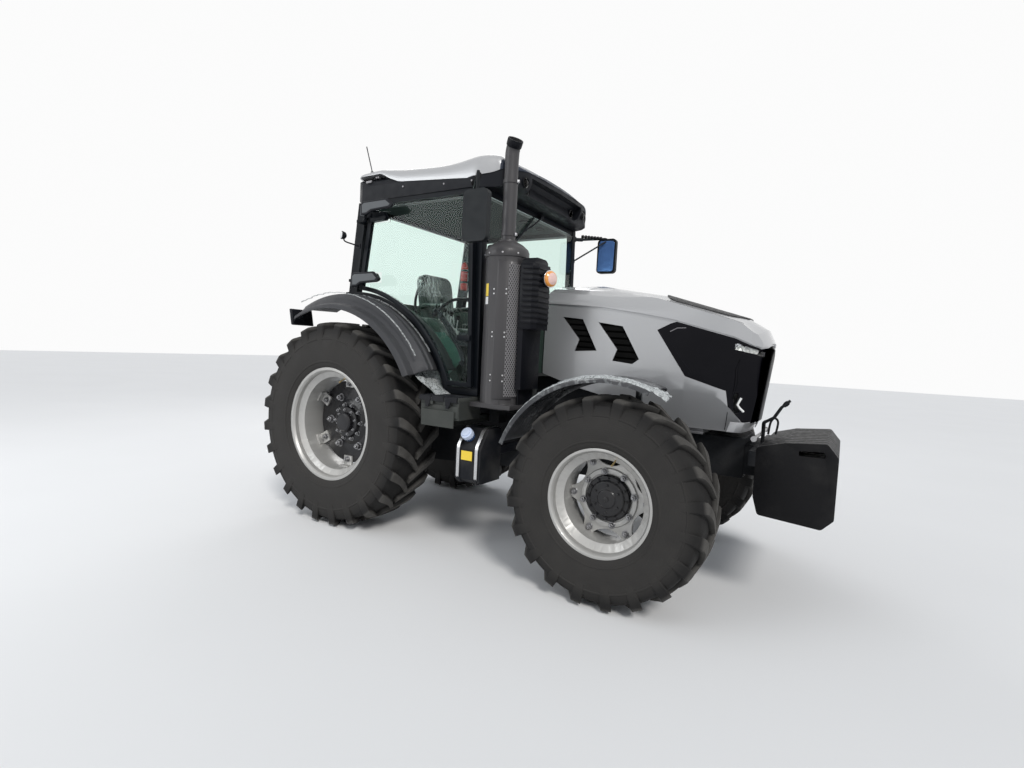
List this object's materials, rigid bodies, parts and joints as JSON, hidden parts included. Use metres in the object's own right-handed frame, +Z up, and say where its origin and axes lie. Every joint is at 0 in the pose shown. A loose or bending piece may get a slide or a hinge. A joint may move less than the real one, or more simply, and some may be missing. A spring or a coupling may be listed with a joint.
{
  "type": "farm tractor",
  "caption": "Four-wheel-drive farm tractor with enclosed two-door cab, tilting hood, steered front axle, front ballast weights and rear three-point hitch.",
  "frame": {"origin": "on the ground at the centre of the machine's footprint box", "axes": "+X forward along the direction of travel, +Y to the tractor's left, +Z up"},
  "size_m": [4.61, 2.19, 3.0811],
  "materials": {
    "hood_silver": "silver-grey gloss paint",
    "mask_black": "gloss black moulding",
    "rim_silver": "silver wheel paint",
    "tyre": "new tyre rubber",
    "chassis_grey": "dark grey chassis paint",
    "cast_grey": "painted castings",
    "weight_black": "black dipped cast iron",
    "exhaust_black": "heat-proof charcoal paint",
    "fender_plastic": "moulded dark grey plastic",
    "trim_black": "textured black plastic",
    "cab_black": "black powder coat",
    "tinted_glass": "green-tinted safety glass",
    "lamp_lens": "clear lamp lens",
    "seat_fabric": "woven seat cloth",
    "steel": "bright steel",
    "mirror_shell": "black moulded housing",
    "hub_black": "black hub paint",
    "cap_blue": "pale blue moulded cap",
    "cooler_core": "finned cooler core"
  },
  "bodies": {
    "chassis": {"transmission": "cast_grey", "engine": "cast_grey", "radiator": "cooler_core", "front_frame": "cast_grey", "front_axle": "cast_grey", "rear_fenders": "fender_plastic", "cab_frame": "cab_black", "cab_floor": "trim_black", "roof_base": "trim_black", "roof_skin": "hood_silver", "cab_glass": "tinted_glass", "seat": "seat_fabric", "steering_column": "trim_black", "consoles": "trim_black", "exhaust_can": "exhaust_black", "exhaust_pipe": "exhaust_black", "additive_tank": "trim_black", "right_step": "trim_black", "fuel_tank": "trim_black", "weight_carrier": "cast_grey", "front_weights": "weight_black", "drawbar": "chassis_grey", "mirrors": "mirror_shell", "antenna": "trim_black", "work_lamps": "lamp_lens", "intake_box": "trim_black", "tank_cap": "cap_blue"},
    "wheel_front_left": {"tyre_front_left": "tyre", "rim_front_left": "rim_silver", "hub_front_left": "hub_black"},
    "wheel_front_right": {"tyre_front_right": "tyre", "rim_front_right": "rim_silver", "hub_front_right": "hub_black"},
    "wheel_rear_left": {"tyre_rear_left": "tyre", "rim_rear_left": "rim_silver", "hub_rear_left": "hub_black"},
    "wheel_rear_right": {"tyre_rear_right": "tyre", "rim_rear_right": "rim_silver", "hub_rear_right": "hub_black"},
    "knuckle_left": {"knuckle_left": "cast_grey", "front_fender_left": "fender_plastic"},
    "knuckle_right": {"knuckle_right": "cast_grey", "front_fender_right": "fender_plastic"},
    "steering_rod": {"steering_rod": "steel"},
    "hood": {"hood_shell": "hood_silver", "hood_mask": "mask_black", "hood_grille": "trim_black", "vent_grilles": "trim_black", "headlamps": "lamp_lens"},
    "door_left": {"door_frame_left": "cab_black", "door_glass_left": "tinted_glass"},
    "door_right": {"door_frame_right": "cab_black", "door_glass_right": "tinted_glass"},
    "steering_wheel": {"steering_wheel": "trim_black"},
    "lift_arms": {"lift_arms": "cast_grey"},
    "lower_links": {"lower_links": "cast_grey"},
    "lift_rods": {"lift_rods": "chassis_grey"},
    "top_link": {"top_link": "chassis_grey"},
    "pto_shaft": {"pto_shaft": "steel"}
  },
  "joints": [
    {"name": "roll_rear_left", "type": "hinge", "parent": "chassis", "child": "wheel_rear_left", "pos_m": [-1.225, 0.79, 0.823], "axis": [0, 1, 0], "continuous": true},
    {"name": "roll_rear_right", "type": "hinge", "parent": "chassis", "child": "wheel_rear_right", "pos_m": [-1.225, -0.79, 0.823], "axis": [0, 1, 0], "continuous": true},
    {"name": "steer_right", "type": "hinge", "parent": "chassis", "child": "knuckle_right", "pos_m": [1.135, -0.62, 0.62], "axis": [0, 0, 1], "range_deg": [-40, 40]},
    {"name": "steer_left", "type": "hinge", "parent": "chassis", "child": "knuckle_left", "pos_m": [1.135, 0.62, 0.62], "axis": [0, 0, 1], "range_deg": [-40, 40]},
    {"name": "roll_front_left", "type": "hinge", "parent": "knuckle_left", "child": "wheel_front_left", "pos_m": [1.135, 0.87, 0.628], "axis": [0, 1, 0], "continuous": true},
    {"name": "roll_front_right", "type": "hinge", "parent": "knuckle_right", "child": "wheel_front_right", "pos_m": [1.135, -0.87, 0.628], "axis": [0, 1, 0], "continuous": true},
    {"name": "steering_slide", "type": "slide", "parent": "chassis", "child": "steering_rod", "axis": [0, -1, 0], "range_m": [-0.1098, 0.1098]},
    {"name": "door_left_swing", "type": "hinge", "parent": "chassis", "child": "door_left", "pos_m": [-1.125, 0.824, 1.95], "axis": [0.146, 0, 0.9893], "range_deg": [0, 80]},
    {"name": "door_right_swing", "type": "hinge", "parent": "chassis", "child": "door_right", "pos_m": [-1.125, -0.824, 1.95], "axis": [-0.146, 0, -0.9893], "range_deg": [0, 80]},
    {"name": "hood_tilt", "type": "hinge", "parent": "chassis", "child": "hood", "pos_m": [0.405, 0, 1.955], "axis": [0, -1, 0], "range_deg": [0, 45]},
    {"name": "steering_wheel_turn", "type": "hinge", "parent": "chassis", "child": "steering_wheel", "pos_m": [-0.325, 0, 1.96], "axis": [-0.2425, 0, 0.9701], "continuous": true},
    {"name": "lower_link_lift", "type": "hinge", "parent": "chassis", "child": "lower_links", "pos_m": [-1.325, 0, 0.52], "axis": [0, 1, 0], "range_deg": [-12, 26]},
    {"name": "lift_arm_turn", "type": "hinge", "parent": "chassis", "child": "lift_arms", "pos_m": [-1.345, 0, 1.19], "axis": [0, 1, 0], "range_deg": [-12, 26]},
    {"name": "lift_rod_swing", "type": "hinge", "parent": "lift_arms", "child": "lift_rods", "pos_m": [-1.745, 0, 1.20711], "axis": [0, -1, 0], "range_deg": [-12, 26]},
    {"name": "top_link_swing", "type": "hinge", "parent": "chassis", "child": "top_link", "pos_m": [-1.5, 0, 0.95], "axis": [0, 1, 0], "range_deg": [-80, 0]},
    {"name": "pto_turn", "type": "hinge", "parent": "chassis", "child": "pto_shaft", "pos_m": [-1.565, 0, 0.64], "axis": [1, 0, 0], "continuous": true}
  ],
  "couplings": [
    {"joint": "steer_left", "follows": "steer_right", "ratio": 1},
    {"joint": "steering_slide", "follows": "steer_right", "m_per_rad": 0.15652},
    {"joint": "lift_arm_turn", "follows": "lower_link_lift", "ratio": 1},
    {"joint": "lift_rod_swing", "follows": "lower_link_lift", "ratio": 1}
  ]
}
